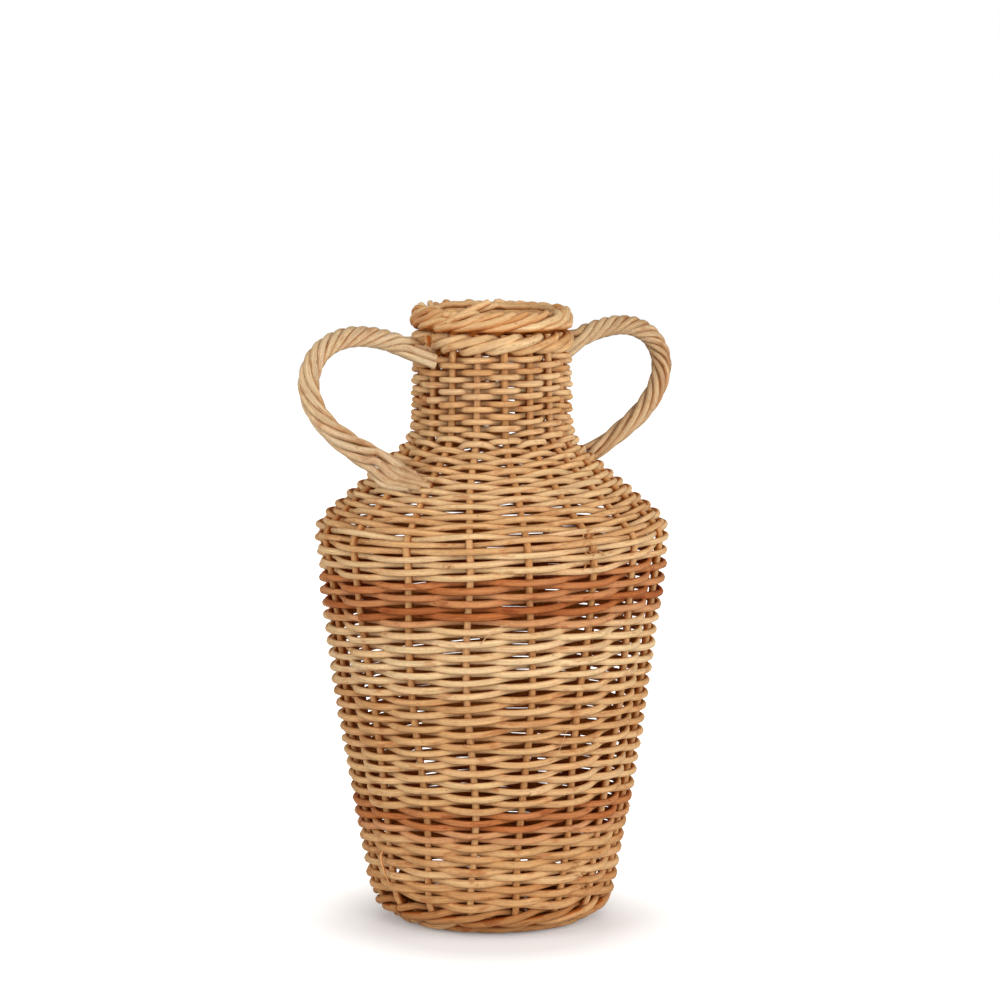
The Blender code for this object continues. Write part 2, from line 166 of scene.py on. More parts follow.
def peeled_willow(name, deep, middle, pale, stain):
    """Each rod has its own tone between deep and pale, and its marks are drawn in millimetres of the rod."""
    material = bpy.data.materials.new(name)
    material.use_nodes = True
    tree = material.node_tree
    shader = tree.nodes["Principled BSDF"]
    grain = add_node(tree, "ShaderNodeAttribute", {"attribute_name": "grain"}, {}).outputs["Vector"]
    tone = add_node(tree, "ShaderNodeAttribute", {"attribute_name": "tone"}, {}).outputs["Fac"]
    # Tone drifts over 3 cm of rod
    drift = ranged(tree, grain_noise(tree, grain, 32, 7, 2.0), 0, 1, -0.35, 0.35)
    shade = add_node(tree, "ShaderNodeMath", {"operation": "ADD", "use_clamp": True}, {0: tone, 1: drift})
    body = add_node(tree, "ShaderNodeValToRGB", {}, {"Fac": shade.outputs[0]})
    body.color_ramp.elements[0].color = linear(deep)
    body.color_ramp.elements[1].color = linear(pale)
    body.color_ramp.elements.new(0.5).color = linear(middle)
    # Hue drifts between pinkish and yellowish over 12 cm
    warmth = ranged(tree, grain_noise(tree, grain, 120, 400, 1.0), 0.35, 0.65, 0, 1)
    hue = mixed(tree, "MIX", warmth, linear("#FFF5E9"), linear("#FFFBEC"))
    colour = mixed(tree, "MULTIPLY", 1.0, body.outputs["Color"], hue)
    # Lines about 1 mm apart run along the rod, and blotches 3 mm long mottle it
    lines = grain_noise(tree, grain, 22, 0.8, 3.0)
    colour = mixed(tree, "MULTIPLY", 1.0, colour, ranged(tree, lines, 0.36, 0.64, 0.78, 1.07))
    mottle = grain_noise(tree, grain, 3.2, 1.6, 3.0)
    colour = mixed(tree, "MULTIPLY", 1.0, colour, ranged(tree, mottle, 0.3, 0.7, 0.87, 1.06))
    # Brown stains 1 cm long, and dark flecks 1 to 3 mm long where buds were
    stained = ranged(tree, grain_noise(tree, grain, 11, 4, 3.0), 0.58, 0.70, 0, 0.55)
    colour = mixed(tree, "MIX", stained, colour, mixed(tree, "MULTIPLY", 1.0, colour, linear(stain)))
    flecked = ranged(tree, grain_noise(tree, grain, 3.5, 1.8, 1.0), 0.71, 0.78, 0, 0.5)
    colour = mixed(tree, "MIX", flecked, colour, linear("#6B431F"))
    # Painted shade: browner and darker where the rods touch and on their inner sides, where shade falls
    crevice_shade = add_node(tree, "ShaderNodeAttribute", {"attribute_name": "crevice_shade"}, {}).outputs["Fac"]
    crevice_shade = ranged(tree, crevice_shade, 0.55, 1.15, 0, 1.0)
    colour = mixed(tree, "MIX", crevice_shade, colour, mixed(tree, "MULTIPLY", 1.0, colour, linear("#D89C54")))
    tree.links.new(colour, shader.inputs["Base Color"])
    tree.links.new(ranged(tree, lines, 0, 1, 0.52, 0.74), shader.inputs["Roughness"])
    ridges = add_node(tree, "ShaderNodeBump", {}, {"Strength": 0.55, "Distance": 0.0004, "Height": lines})
    tree.links.new(ridges.outputs[0], shader.inputs["Normal"])
    shader.inputs["Specular IOR Level"].default_value = 0.12
    return material


# Natural rods are peeled raw, golden and russet ones after boiling in their bark, which dyes them. The
# stakes are a more orange tan, and darker as painted shade, since they lie recessed between the weavers,
# and the handles' young rods are the palest.
natural_willow = peeled_willow("peeled natural willow", "#BC8450", "#DAB386", "#E6CCA6", "#CC9060")
stake_willow = peeled_willow("peeled stake willow", "#AC7848", "#CE9E6C", "#DEB68C", "#C68E58")
golden_willow = peeled_willow("golden buff willow", "#A26A3C", "#C69464", "#DEB88C", "#BC7C4A")
pale_willow = peeled_willow("pale handle willow", "#AE8864", "#CEB392", "#DBC8AE", "#CFA078")
russet_willow = peeled_willow("russet buff willow", "#96502A", "#B67040", "#CE9A70", "#B4703F")


def bend_rod(bundle, places, widths, tone, outward=None, shade_strength=1.0):
    """Adds one round rod to a bundle, with its grain and tone, and painted shade on its side away from
    outward.
    """
    bent = bpy.data.curves.new("rod", "CURVE")
    bent.dimensions = "3D"
    bent.bevel_depth = 0.5
    bent.bevel_resolution = 2
    bent.use_fill_caps = True
    run = bent.splines.new("POLY")
    run.points.add(len(places) - 1)
    run.points.foreach_set("co", np.c_[places, np.ones(len(places))].ravel())
    run.points.foreach_set("radius", widths)
    holder = bpy.data.objects.new("rod", bent)
    rod = bpy.data.meshes.new_from_object(holder)
    # The mesh holds the two cut ends first, and then one ring of eight corners for each place. The tone also
    # shifts the grain along, so that no two rods have the same marks
    along = np.concatenate([[0], np.cumsum(np.linalg.norm(np.diff(places, axis=0), axis=1))])
    tones = np.broadcast_to(tone, len(places))
    along = np.repeat(np.concatenate([[along[-1], along[0]], along]), 8) + tones[0] * 37
    round_it = np.tile(np.arange(8) * math.pi / 4, len(places) + 2)
    thick = np.repeat(np.concatenate([[widths[-1], widths[0]], widths]), 8) / 2
    grain = np.c_[along, thick * np.cos(round_it), thick * np.sin(round_it)]
    rod.attributes.new("grain", "FLOAT_VECTOR", "POINT").data.foreach_set("vector", grain.ravel())
    tones = np.repeat(np.concatenate([[tones[-1], tones[0]], tones]), 8)
    rod.attributes.new("tone", "FLOAT", "POINT").data.foreach_set("value", tones)
    if outward is None:
        # Away from the vase's axis, and half downward under the base
        outward = places * (1, 1, 0) / np.maximum(np.linalg.norm(places[:, :2], axis=1), 0.01)[:, None]
        outward = np.where(places[:, 2:] < 0.013, 0.7 * outward + (0, 0, -0.7), outward)
    corners = np.empty(len(rod.vertices) * 3)
    rod.vertices.foreach_get("co", corners)
    middles = np.repeat(np.concatenate([places[-1:], places[:1], places]), 8, axis=0)
    facing = np.repeat(np.concatenate([outward[-1:], outward[:1], outward]), 8, axis=0)
    # Painted shade: none on the face toward outward, most on the far side of the rod
    crevice_shade = shade_strength - shade_strength * np.sum((corners.reshape(-1, 3) - middles) * facing, axis=1) / thick
    rod.attributes.new("crevice_shade", "FLOAT", "POINT").data.foreach_set("value", crevice_shade)
    bundle.from_mesh(rod)
    bpy.data.meshes.remove(rod)
    bpy.data.objects.remove(holder)
    bpy.data.curves.remove(bent)


def new_bundle():
    """An empty bundle, ready to hold rods with their grain, tone and painted shade."""
    bundle = bmesh.new()
    bundle.verts.layers.float_vector.new("grain")
    bundle.verts.layers.float.new("tone")
    bundle.verts.layers.float.new("crevice_shade")
    return bundle


def lay_down(bundle, name, material, slot, *nodes):
    """Closes the cut ends of a bundle's rods and puts it in the place of its solids."""
    bmesh.ops.remove_doubles(bundle, verts=bundle.verts, dist=1e-6)
    for face in bundle.faces:
        face.smooth = True
    mesh = bpy.data.meshes.new(name)
    bundle.to_mesh(mesh)
    bundle.free()
    mesh.set_sharp_from_angle(angle=math.radians(65))
    mesh.materials.append(material)
    piece = bpy.data.objects.new(name, mesh)
    bpy.context.scene.collection.objects.link(piece)
    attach(piece, "root")
    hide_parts(*nodes)


# Stakes: uprights of stouter peeled willow, 4.9 mm thick. Eight rods run down one side, across the base
# and up the other side, and a half rod makes the seventeenth. In the middle of the base four of them cross
# over the rest.
chance = random.Random(11)
stake_width = 0.0049
cross_step = 0.0025
cross_lane = 0.0050
cross_straight = 0.0240
fan_length = 0.0335
wall_lengths = np.arange(stand_length, mouth_length, 0.0030)
upright_lengths = np.concatenate([[fan_length], wall_lengths, [mouth_length]])


def upright(count):
    """One stake from the edge of the cross to the mouth, wandering a little between the weavers."""
    wander = 0.06 * np.sin(upright_lengths * 34 + chance.uniform(0, 6.3))
    wander *= np.interp(upright_lengths, (0.06, 0.10, 0.36, 0.40), (0, 1, 1, 0.3))
    return wall_places(count + wander, upright_lengths, 0)


def stake_widths(places):
    """A stake's thickness at each place, a little uneven as grown wood is."""
    return np.full(len(places), stake_width) * (1 + 0.04 * np.sin(np.arange(len(places)) * 0.35))


for rod in range(4):
    y = (rod - 1.5) * cross_lane
    bend = cross_straight - 0.5 * abs(y)
    straight = [(-bend, y, base_centre.y + cross_step), (bend, y, base_centre.y + cross_step)]
    places = np.concatenate([upright(19 - rod)[::-1], straight, upright(7 + rod)])
    bundle = new_bundle()
    bend_rod(bundle, places, stake_widths(places), chance.uniform(0.3, 0.7))
    lay_down(bundle, f"willow_stake_{rod + 1}", stake_willow, "stake_rod", f"stake_rod_{rod + 1}")
for rod in range(4):
    x = (2 - rod) * cross_lane
    bend = cross_straight - 0.5 * abs(x)
    straight = [(x, -bend, base_centre.y - cross_step), (x, bend, base_centre.y - cross_step)]
    places = np.concatenate([upright(23 - rod)[::-1], straight, upright(11 + rod)])
    bundle = new_bundle()
    bend_rod(bundle, places, stake_widths(places), chance.uniform(0.3, 0.7))
    lay_down(bundle, f"willow_stake_{rod + 5}", stake_willow, "stake_rod", f"stake_rod_{rod + 5}")
half_x = -2 * cross_lane
straight = [(half_x, -0.0100, base_centre.y - cross_step), (half_x, 0.0190, base_centre.y - cross_step)]
places = np.concatenate([straight, upright(15)])
bundle = new_bundle()
bend_rod(bundle, places, stake_widths(places), 0.5)
lay_down(bundle, "willow_half_stake", stake_willow, "stake_rod", "stake_half_rod")


# Base: a strand ties the cross of stakes, twice round, over the upper rods and under the lower ones. Then
# thin weavers go round and round, out to the edge that the vase stands on.
base_rod_width = 0.0040
binding_step = 0.0073
disc_pitch = 0.0044
disc_swing = 0.0043
# The binding lies over the cross one way and under it the other, and its second round lies outside the first
bundle = new_bundle()
places = []
for quarter in range(8):
    over = quarter % 2 == 0
    wide, reach = (0.0120, 0.0145) if over else (0.0145, 0.0120)
    grown = quarter // 4 * disc_pitch
    height = base_centre.y + (binding_step if over else -binding_step)
    turn = quarter * math.pi / 2
    ahead = Vector((math.cos(turn), math.sin(turn), 0)) * (reach + grown)
    across = Vector((-math.sin(turn), math.cos(turn), 0)) * (wide + grown)
    up = Vector((0, 0, height))
    places += [ahead - across * 0.9 + up, ahead + up, ahead + across * 0.9 + up]
places = np.array([tuple(place) for place in places])
bend_rod(bundle, places, np.full(len(places), base_rod_width), 0.5)
lay_down(bundle, "cross_binding", natural_willow, "natural_rod", "base_binding")

bundle = new_bundle()
disc_rows = math.floor((stand_length - fan_length) / disc_pitch)
disc_start = stand_length - disc_pitch / 2 - (disc_rows - 1) * disc_pitch
counts = np.arange(1, 1 + (disc_rows - 1) * stakes + 0.1, 0.125)
lengths = disc_start + disc_pitch * counts / stakes
places = wall_places(counts, lengths, disc_swing * np.cos(math.pi * counts))
bend_rod(bundle, places, np.full(len(places), base_rod_width), 0.45)
lay_down(bundle, "woven_disc", natural_willow, "natural_rod", "base_weave")


# Wales: three rods at a time, each going outside two stakes and inside the third, so every stroke lies aslant
# over the last. They lock the edge of the base, turn the stakes up at the heel and hold the top of the neck.
def add_wale(name, node, bottom, width, swing, material, slot, tones, pushed_in):
    """Lays a wale's three rods round the stakes, one piece for each rod, each stroke in its own tone."""
    for rod in range(3):
        bundle = new_bundle()
        counts = np.arange(0.05, stakes - 0.04, 0.1)
        cycle = (counts - rod) % 3
        turn = 2 * math.pi * (cycle - 1.5) / 3
        out = swing * (0.333 + 1.025 * np.cos(turn) - 0.308 * np.cos(2 * turn))
        climb = np.interp(cycle, (0, 0.45, 0.65, 2.35, 2.55, 3), (0, -0.95, -0.9, 0.9, 0.95, 0))
        rise = wale_band / 3 * 1.08 * climb
        rise = rise + 0.0004 * np.sin(counts * 1.3 + rod * 2.1)
        if pushed_in:
            # The handles' rods press it in by 3.8 mm where they pass
            for handle in (0.15, 8.35):
                out = out - 0.0038 * np.exp(-((counts - handle) / 0.4) ** 2)
        places = wall_places(counts, bottom + wale_band / 2 + rise, out)
        strokes = ((counts - rod) // 3).astype(int) + 1
        stroke_tones = np.array([chance.uniform(*tones) for _ in range(8)])
        stroke_widths = np.array([chance.uniform(0.92, 1.08) for _ in range(8)])
        widths = width * stroke_widths[strokes] * np.interp(cycle, (0, 0.7, 2.0, 3), (0.9, 1.03, 1.03, 0.9))
        # Painted shade: each stroke is darker where it passes inside, behind the stakes
        shade_behind_stakes = np.interp(cycle, (0, 0.5, 2.5, 3), (0.15, 0, 0, 0.15))
        bend_rod(bundle, places, widths, stroke_tones[strokes] - shade_behind_stakes)
        lay_down(bundle, f"{name}_{rod + 1}", material, slot, f"{node}_{rod + 1}")


golden = (golden_willow, "golden_rod", (0.2, 0.85))
wale_spots = (("stand_wale", "base_wale"), ("heel_wale_rod", "heel_wale"), ("foot_wale_rod", "foot_wale"))
for step, (name, node) in enumerate(wale_spots):
    add_wale(name, node, stand_length + step * wale_band, 0.0051, 0.0036, *golden, pushed_in=False)


# Wall weave: one rod after another goes up in a spiral, outside one stake and inside the next. Each rod is
# about a metre long, thicker at its butt. Most end behind a stake, and some in front of one, with the ends
# dipped.
# The next rod's start: stakes round, and along the wall's line, half a row above the three lower wales
weaving = {"count": 1, "length": stand_length + 3 * wale_band + 0.0022}
# Paler and darker bundles of rods follow each other up the wall: height and tone
row_tones = (
    (0.020, 0.05), (0.028, 0.10), (0.034, 0.28), (0.066, 0.30), (0.091, 0.60), (0.116, 0.55), (0.126, 0.30),
    (0.156, 0.35), (0.166, 0.75), (0.206, 0.68), (0.246, 0.55), (0.306, 0.50), (0.376, 0.46),
)
# Heights at which the zones of the wall meet
lower_band_bottom, lower_band_top = 0.0670, 0.0895
upper_band_bottom, upper_band_top = 0.2100, 0.2410
neck_bottom, neck_top = 0.3190, 0.3815


def add_weave(name, node, top, pitch, width, swing, square, material, slot, tones):
    """Weaves rods up to a place on the wall's line. A larger square flattens their bends at the stakes."""
    first, bottom = weaving["count"], weaving["length"]
    last = first + 2 * round((top - bottom) / pitch * stakes / 2)
    # One rod lasts for about 28 stakes
    rods = max(1, round((last - first) / 2 / 14))
    joins = [first + 2 * round((last - first) / 2 * share / rods) for share in range(rods + 1)]
    joins = [join + chance.choice((0, 0, 1)) if first < join < last else join for join in joins]
    bundle = new_bundle()
    for begins, ends in zip(joins, joins[1:]):
        counts = np.arange(begins + 0.06, ends + 0.07, 0.125)
        lengths = bottom + (top - bottom) * (counts - first) / (last - first)
        phase = chance.uniform(0, 6.3)
        lengths += 0.0003 * np.sin(counts * 0.9 + phase) + 0.0003 * np.sin(counts * 2.3 + phase * 3)
        # On the slope of the shoulder an outer stroke slips down and an inner one slips up
        slope = np.interp(height_at(lengths), (0.262, 0.270, 0.312, 0.322), (0, 1, 1, 0))
        lengths -= 0.0011 * slope * np.cos(math.pi * counts)
        for join in (begins, ends):
            if join % 2 == 0:
                lengths -= 0.0010 * np.exp(-((counts - join) / 0.5) ** 2)
        out = np.cos(math.pi * counts) - square * np.cos(3 * math.pi * counts)
        out *= swing / (1 - square) * (1 + 0.06 * np.sin(counts * 1.7 + phase))
        places = wall_places(counts, lengths, out)
        share = (counts - begins) / (ends - begins)
        uneven = 0.05 * np.sin(counts * 0.73 + phase) + 0.03 * np.sin(counts * 1.9 + phase)
        widths = width * (1.06 - 0.14 * share + uneven)
        tone = np.interp(places[0, 2], *zip(*row_tones)) if tones is None else chance.uniform(*tones)
        bend_rod(bundle, places, widths, tone + chance.uniform(-0.2, 0.24))
    weaving.update(count=last, length=top)
    lay_down(bundle, name, material, slot, node)


def add_zone(name, node, parts, top, pitch, width, swing, square):
    """Weaves a zone of natural willow, in as many parts as it has solids."""
    bottom = weaving["length"]
    for part in range(parts):
        reach = bottom + (top - bottom) * (part + 1) / parts
        names = (f"{name}_{part + 1}", f"{node}_{part + 1}")
        add_weave(*names, reach, pitch, width, swing, square, natural_willow, "natural_rod", None)


body_pitch = 0.00435
neck_pitch = 0.00403
add_zone("foot_rows", "foot_weave", 2, length_at(lower_band_bottom), body_pitch, 0.0054, 0.0030, 0.0)
russet = (russet_willow, "russet_rod", (0.1, 1.0))
reach = length_at(lower_band_top)
add_weave("lower_russet_rows", "lower_band", reach, body_pitch, 0.0046, 0.0041, 0.0, *russet)
add_zone("body_rows", "body_weave", 6, length_at(upper_band_bottom), body_pitch, 0.0046, 0.0042, 0.06)
reach = length_at(upper_band_top)
add_weave("upper_russet_rows", "upper_band", reach, body_pitch, 0.0046, 0.0042, 0.06, *russet)
add_zone("shoulder_rows", "shoulder_weave", 4, length_at(neck_bottom), body_pitch, 0.0043, 0.0031, 0.05)
add_zone("neck_rows", "neck_weave", 3, length_at(neck_top) - 0.0006, neck_pitch, 0.0042, 0.0044, 0.16)
natural = (natural_willow, "natural_rod", (0.35, 0.75))
add_wale("neck_wale", "rim_wale", length_at(neck_top) - 0.0002, 0.0058, 0.0046, *natural, pushed_in=True)


# Border: the stakes' own ends, doubled with an extra rod, are rolled one over the other. Each comes out over
# the wale, climbs the outside to the right, goes over the top and runs level inside the mouth to its cut end.
def smooth_line(knots, spacing):
    """Points at even spacing on a smooth curve through all the knots, and how far along it each one is."""
    ends = np.concatenate([[2 * knots[0] - knots[1]], knots, [2 * knots[-1] - knots[-2]]])
    curve = []
    for before, start, end, after in zip(ends, ends[1:], ends[2:], ends[3:]):
        for share in np.linspace(0, 1, 12, endpoint=False):
            curve.append(0.5 * (
                2 * start + (end - before) * share
                + (2 * before - 5 * start + 4 * end - after) * share ** 2
                + (3 * start - before - 3 * end + after) * share ** 3
            ))
    curve = np.array(curve + [knots[-1]])
    passed = np.concatenate([[0], np.cumsum(np.linalg.norm(np.diff(curve, axis=0), axis=1))])
    marks = np.linspace(0, passed[-1], round(passed[-1] / spacing) + 1)
    points = [np.interp(marks, passed, curve[:, axis]) for axis in range(curve.shape[1])]
    return np.stack(points, axis=1), marks


border_middle = mouth_edge.y + 0.0084
# One stroke: stakes round, out from the mouth's edge, and up from the border's middle
border_path = np.array([
    (0.00, -0.0012, -0.0046), (0.30, 0.0026, -0.0050), (0.90, 0.0048, -0.0036), (1.45, 0.0051, -0.0010),
    (1.85, 0.0047, 0.0018), (2.15, 0.0036, 0.0041), (2.35, 0.0016, 0.0045), (2.50, -0.0003, 0.0024),
    (2.60, -0.0014, -0.0008), (2.78, -0.0020, -0.0034),
])
stroke_widths = np.array((0.0048, 0.0054, 0.0053, 0.0044))
# The last rods of the border end in loose strokes, which lie over it or reach into the mouth
last_ends = (
    ((0.95, 0.0048, -0.0010), (1.35, 0.0036, 0.0040), (1.80, 0.0000, 0.0086), (2.40, -0.0060, 0.0134)),
    ((0.90, 0.0010, 0.0030), (1.50, -0.0030, 0.0056), (2.10, -0.0080, 0.0084), (2.80, -0.0130, 0.0112)),
    ((0.90, -0.0060, 0.0010), (0.92, 0.0000, 0.0040), (0.95, 0.0080, 0.0046)),
    ((-1.60, 0.0040, 0.0000), (-0.90, 0.0048, 0.0030), (-0.30, 0.0020, 0.0062), (0.10, -0.0030, 0.0070)),
)


def border_rod(bundle, path, start, widths, tone, uneven):
    """One rod of the border, from a path in stakes round, out from the mouth's edge, and up."""
    turn = math.pi + (start + path[:, 0]) * stake_step
    radius = mouth_edge.x + path[:, 1] + [chance.uniform(-uneven, uneven) for _ in turn]
    height = border_middle + path[:, 2] + [chance.uniform(-uneven, uneven) for _ in turn]
    # Above the wale the border stands 2 mm higher at the back left
    tilt = 0.0004 + 0.0018 * np.cos(turn - math.radians(87.3))
    height = height + tilt * np.interp(path[:, 2], (-0.005, 0.004), (0, 1))
    places, marks = smooth_line(np.c_[radius * np.cos(turn), radius * np.sin(turn), height], 0.0018)
    widths = np.interp(marks / marks[-1], (0, 0.15, 0.8, 1), widths) * chance.uniform(0.88, 1.10)
    # Each border rod is painted with shade on its underside
    upward = np.tile((0.0, 0.0, 1.0), (len(places), 1))
    bend_rod(bundle, places, widths, tone, upward, 0.6)


for strand in range(4):
    bundle = new_bundle()
    for stroke in range(strand, stakes, 4):
        # The stake's own end, and the thinner rod beside it
        for behind, rise, thinner in ((0.90, 0.0, 1.0), (0.42, 0.0013, 0.82)):
            start = stroke - behind + chance.uniform(-0.15, 0.15)
            widths = stroke_widths * thinner
            path = border_path + (0, -0.5 * rise, rise)
            border_rod(bundle, path, start, widths, chance.uniform(0.15, 0.95), 0.0006)
    border_rod(bundle, np.array(last_ends[strand]), 0, (0.0050, 0.0050, 0.0048, 0.0040), 0.7, 0)
    # Their ends run level inside the mouth, one over the other, each lower one darker, as painted shade
    # deeper in the mouth as well as its own tone
    round_it = np.linspace(0, 4.7, 16)
    for level, tone in ((0.0042, 0.6), (0.0006, 0.4), (-0.0030, 0.3)):
        wander = level + 0.0007 * np.cos(round_it * 1.3 + level * 900)
        inside = np.c_[round_it, -0.0043 + 0.0009 * np.sin(round_it * 2 + strand), wander]
        start = strand * 4.25 + level * 400
        border_rod(bundle, inside, start, (0.0030, 0.0042, 0.0042, 0.0030), tone, 0.0003)
    name, node = f"border_roll_{strand + 1}", f"border_strand_{strand + 1}"
    lay_down(bundle, name, natural_willow, "natural_rod", node)


# Handles: six pale rods twisted into a rope round a core, as thick as a thumb's tip. At the neck the rods
# part and are pushed in under the wale one by one. On the shoulder they part again and lie flat, with their
# tips tucked in.
handle_lay = 0.0047
core_width = 0.0046
rod_width = 0.0050
spacing = 0.0025
rope_start = 9
# The handle's centre line: out from the vase's axis, and up
handle_line = np.array([
    (0.0530, 0.3752), (0.0600, 0.3800), (0.0680, 0.3848), (0.0840, 0.3908), (0.1040, 0.3943),
    (0.1210, 0.3930), (0.1360, 0.3855), (0.1440, 0.3735), (0.1452, 0.3618), (0.1400, 0.3480),
    (0.1280, 0.3345), (0.1110, 0.3227), (0.0930, 0.3125), (0.0820, 0.3080),
])
# The rods' ends on the wall: stakes round from the handle, height of the wall there, and out of it
neck_tips = (
    (-0.55, 0.3855, 0.0060), (0.50, 0.3787, 0.0064), (0.47, 0.3738, 0.0064), (-0.20, 0.3745, 0.0040),
    (0.00, 0.3825, 0.0010), (-0.90, 0.3885, 0.0060),
)
# On the shoulder the lowest rod comes first, and the left handle's rods lie over one more place each
left_tips = (
    ((0.15, 0.2940, 0.0085), (0.95, 0.2933, 0.0060)), ((0.02, 0.2925, 0.0078), (0.70, 0.2925, 0.0056)),
    ((0.25, 0.2962, 0.0098), (1.15, 0.2948, 0.0066)), ((0.22, 0.2988, 0.0105), (1.05, 0.2960, 0.0085)),
    ((0.15, 0.3020, 0.0100), (0.72, 0.2995, 0.0085)), ((-0.10, 0.3050, 0.0080), (0.10, 0.3045, 0.0015)),
)
right_tips = (
    ((0.60, 0.2985, 0.0040),), ((0.75, 0.3000, 0.0040),), ((0.30, 0.3015, 0.0040),),
    ((0.65, 0.3040, 0.0040),), ((0.25, 0.3060, 0.0040),), ((0.45, 0.3085, 0.0045),),
)
middle, marks = smooth_line(handle_line, spacing)
way = np.gradient(middle, axis=0)
way /= np.linalg.norm(way, axis=1)[:, None]
twist_length = np.interp(marks, (0.010, 0.035, 0.100, 0.130, 0.165), (0.160, 0.052, 0.054, 0.075, 0.110))
turned = np.cumsum(2 * math.pi * spacing / twist_length)
turned = turned - turned[rope_start - 1]
first_turn = math.radians(150)
lay_angle = np.arctan(2 * math.pi * handle_lay / twist_length)
# Each handle's place round the wall, its rods' ends, how soon its rope parts, and its swelling there
sides = (("left", 0.0, left_tips, 7, 1.45), ("right", 8.5, right_tips, 1, 0.82))
for side, count, tips, loose, swell in sides:
    rope = slice(rope_start, len(marks) - loose + 1, 3)
    spread = np.interp(marks[-1] - marks, (0.002, 0.012, 0.060), (max(swell, 1.1), swell, 1.0))
    turn = math.pi + count * stake_step
    mirror = 1 if side == "left" else -1
    along = np.array((math.cos(turn), math.sin(turn), 0))
    beside = np.array((-math.sin(turn), math.cos(turn), 0)) * mirror
    up = np.array((0, 0, 1))
    centre = middle[:, :1] * along + middle[:, 1:] * up
    # Toward the inside of the handle's loop
    inward = way[:, 1:] * along - way[:, :1] * up
    bundle = new_bundle()
    core_widths = np.interp(marks[3:-1], (marks[-30], marks[-1]), (core_width, core_width * swell))
    # The heart is painted with shade on its side toward the vase
    bend_rod(bundle, centre[3:-1], core_widths, 0.5, None, 0.5)
    lay_down(bundle, f"{side}_handle_heart", pale_willow, "natural_rod", f"{side}_handle_core")
    # On the shoulder the rods part in the order that they lie in there, from the lowest to the highest
    last_turn = first_turn - mirror * turned[-loose]
    last_heights = [math.cos(last_turn - strand * math.pi / 3) for strand in range(6)]
    ranks = np.argsort(np.argsort(last_heights))
    for strand in range(6):
        twist = first_turn - mirror * turned - strand * math.pi / 3
        inner, across = handle_lay * spread * np.cos(twist), handle_lay * np.sin(twist)
        places = centre + inner[:, None] * inward + across[:, None] * beside
        tip_count, tip_height, tip_out = neck_tips[strand]
        neck_tip = wall_places(count + mirror * tip_count, length_at(tip_height), tip_out)
        tip_count, tip_height, tip_out = np.array(tips[ranks[strand]]).T
        shoulder_tip = wall_places(count + mirror * tip_count, length_at(tip_height), tip_out)
        between = 0.5 * (neck_tip[0] + places[rope_start])
        knots = np.concatenate([neck_tip, [between], places[rope], shoulder_tip])
        places, passed = smooth_line(knots, spacing)
        inside = [np.interp(passed, marks, centre[:, axis]) for axis in range(3)]
        outward = places - np.stack(inside, axis=1)
        outward /= np.maximum(np.linalg.norm(outward, axis=1), 0.003)[:, None]
        widths = np.interp(passed, marks, rod_width * np.cos(lay_angle) + 0.0003)
        loosened = 0.7 + 0.25 * swell
        taper = np.interp(passed[-1] - passed, (0, 0.012, 0.030, 0.050), (0.7, loosened, loosened, 1))
        widths *= taper * chance.uniform(0.94, 1.04)
        bundle = new_bundle()
        # Each rod's tone differs at random, and the right handle's rods, at the back, are painted 0.2 darker
        # as shade
        tone_and_shade = chance.uniform(0.45, 0.8) - (0 if side == "left" else 0.2)
        # Each rod is painted with shade on its side toward the rope's middle
        bend_rod(bundle, places, widths, tone_and_shade, outward, 0.7)
        rod_name, node = f"{side}_handle_rod_{strand + 1}", f"{side}_handle_strand_{strand + 1}"
        lay_down(bundle, rod_name, pale_willow, "natural_rod", node)


# Loose fibres: splinters of bark and hairs of bast stand off the weave, where rods were joined or scraped
# as they were pushed home. Each is as thin as thread and held by the rods at its root. One thin rod lies
# over the vase's foot.
def add_fibre(bundle, knots, thickness, tone):
    """One fibre through places on the wall: stakes round, height of the wall there, and out of it."""
    knots = np.array(knots)
    places, marks = smooth_line(wall_places(knots[:, 0], length_at(knots[:, 1]), knots[:, 2]), 0.0012)
    bend_rod(bundle, places, thickness * np.interp(marks / marks[-1], (0, 0.5, 1), (1, 1, 0.45)), tone)


bundle = new_bundle()
whisker = (
    (2.16, 0.2010, 0.0030), (2.21, 0.2029, 0.0066), (2.29, 0.2074, 0.0090), (2.42, 0.2120, 0.0096),
    (2.56, 0.2150, 0.0092), (2.74, 0.2166, 0.0080),
)
hair = (
    (3.42, 0.1210, 0.0030), (3.46, 0.1240, 0.0066), (3.56, 0.1316, 0.0076), (3.65, 0.1407, 0.0070),
    (3.73, 0.1468, 0.0074),
)
thin_rod = ((-0.14, 0.0560, 0.0020), (-0.09, 0.0512, 0.0074), (0.00, 0.0410, 0.0080), (0.10, 0.0320, 0.0066))
add_fibre(bundle, whisker, 0.0006, 1.0)
add_fibre(bundle, hair, 0.0005, 0.9)
add_fibre(bundle, thin_rod, 0.0016, 0.5)
frayed_spots = (
    (2.08, 0.0406), (4.40, 0.0406), (4.21, 0.0497), (4.63, 0.0330), (3.86, 0.2651), (3.87, 0.2590),
    (3.90, 0.2499), (1.75, 0.2530), (4.04, 0.2560), (3.90, 0.3915), (9.10, 0.0900), (11.60, 0.2500),
    (13.80, 0.1900), (10.20, 0.3300),
)
for count, height in frayed_spots:
    for _ in range(6):
        shift = (chance.uniform(-0.10, 0.10), chance.uniform(-0.0020, 0.0020), 0)
        root = np.add((count, height, 0.0044), shift)
        reach = (chance.uniform(-0.10, 0.10), chance.uniform(-0.0040, 0.0040), chance.uniform(0.0018, 0.0042))
        knots = (root, root + np.array((0.5, 0.5, 0.8)) * reach, root + reach)
        add_fibre(bundle, knots, chance.uniform(0.00035, 0.0007), chance.uniform(0.0, 0.7))
lay_down(bundle, "loose_fibres", stake_willow, "natural_rod")


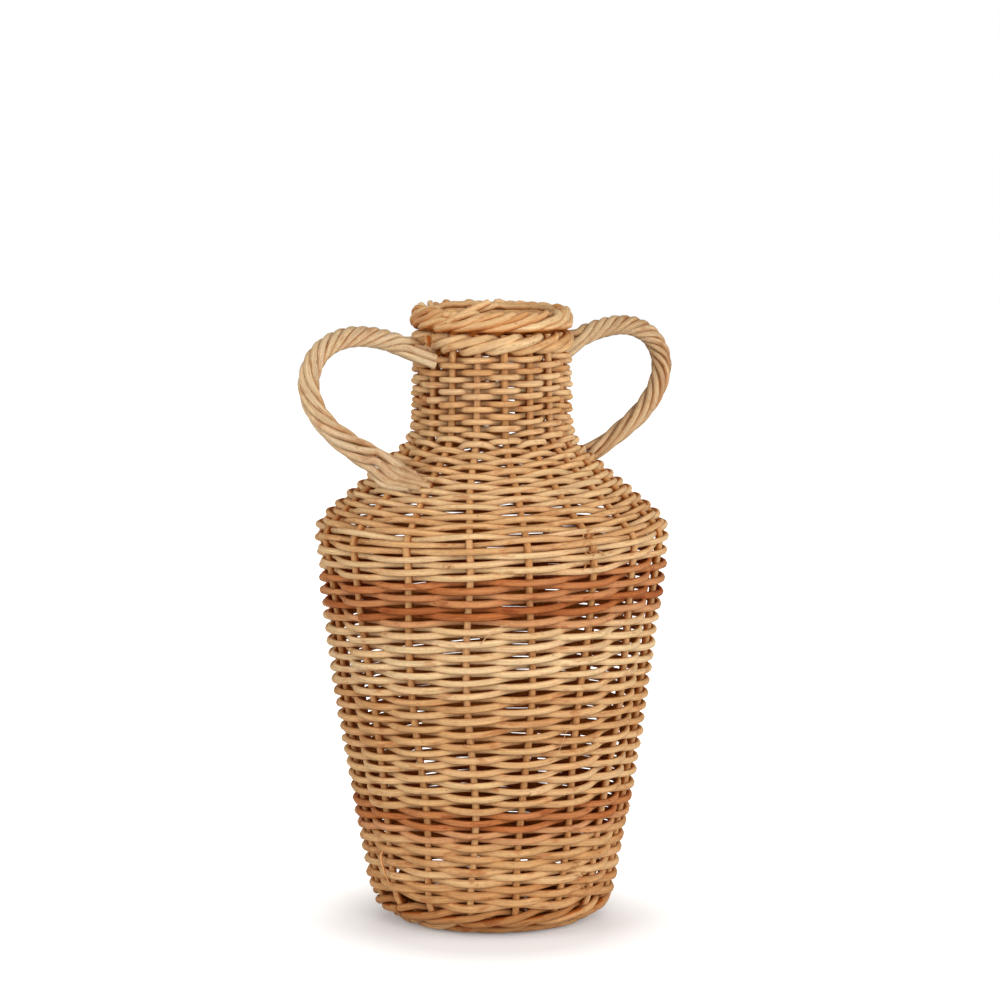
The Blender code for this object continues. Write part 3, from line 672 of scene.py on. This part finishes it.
# Floor: a seamless white paper that the vase stands on. The camera sees it lifted to white away from the
# vase, and less under it, so that its soft shadow stays.
bpy.ops.mesh.primitive_plane_add(size=8)
floor = bpy.context.object
floor.name = "floor"
paper = bpy.data.materials.new("white paper")
paper.use_nodes = True
tree = paper.node_tree
shader = tree.nodes["Principled BSDF"]
shader.inputs["Base Color"].default_value = linear("#EEF2F7")
shader.inputs["Roughness"].default_value = 0.9
seen = add_node(tree, "ShaderNodeLightPath", {}, {}).outputs["Is Camera Ray"]
place = add_node(tree, "ShaderNodeTexCoord", {}, {}).outputs["Object"]
away = add_node(tree, "ShaderNodeVectorMath", {"operation": "DISTANCE"}, {0: place, 1: (-0.021, -0.028, 0)})
lift = ranged(tree, away.outputs["Value"], 0.075, 0.20, 0.17, 0.95)
lift = add_node(tree, "ShaderNodeMath", {"operation": "MULTIPLY"}, {0: seen, 1: lift})
shader.inputs["Emission Color"].default_value = (1, 1, 1, 1)
tree.links.new(lift.outputs[0], shader.inputs["Emission Strength"])
floor.data.materials.append(paper)


# Light: a large soft lamp in front, a little to the right, and weaker ones at both sides. The pale room
# lights the vase warmly from all round, and is white to the camera.
world = bpy.data.worlds.new("pale room")
world.use_nodes = True
bpy.context.scene.world = world
tree = world.node_tree
seen = add_node(tree, "ShaderNodeLightPath", {}, {}).outputs["Is Camera Ray"]
strength = add_node(tree, "ShaderNodeMapRange", {}, {"Value": seen, 3: 0.40, 4: 1.0})
background = tree.nodes["Background"]
tree.links.new(mixed(tree, "MIX", seen, linear("#FFF3E4"), (1, 1, 1, 1)), background.inputs["Color"])
tree.links.new(strength.outputs[0], background.inputs["Strength"])
camera_turn = math.radians(-36.5)


def add_lamp(name, right, front, height, size, power):
    """A square lamp placed as the camera sees it, facing the vase."""
    data = bpy.data.lights.new(name, "AREA")
    data.size = size
    data.energy = power
    lamp = bpy.data.objects.new(name, data)
    lamp.location = (
        right * math.cos(camera_turn) + front * math.sin(camera_turn),
        right * math.sin(camera_turn) - front * math.cos(camera_turn),
        height,
    )
    lamp.rotation_euler = (Vector((0, 0, 0.2)) - lamp.location).to_track_quat("-Z", "Y").to_euler()
    bpy.context.scene.collection.objects.link(lamp)


add_lamp("key lamp", 0.8, 2.5, 1.10, 2.0, 46)
add_lamp("left lamp", -1.8, 1.0, 0.9, 1.4, 17)
add_lamp("right lamp", 1.9, 0.7, 0.9, 1.4, 15)


# Camera: 2.2 m away and half a metre up, turned to the photograph's side and tilted a little down.
lens = bpy.data.cameras.new("camera")
lens.lens = 119.3
lens.sensor_width = 36
camera = bpy.data.objects.new("camera", lens)
camera.location = (-1.3043, -1.7717, 0.526)
camera.rotation_euler = (math.radians(90 - 6.35), 0, camera_turn)
bpy.context.scene.collection.objects.link(camera)
bpy.context.scene.camera = camera
bpy.context.scene.view_settings.view_transform = "Standard"
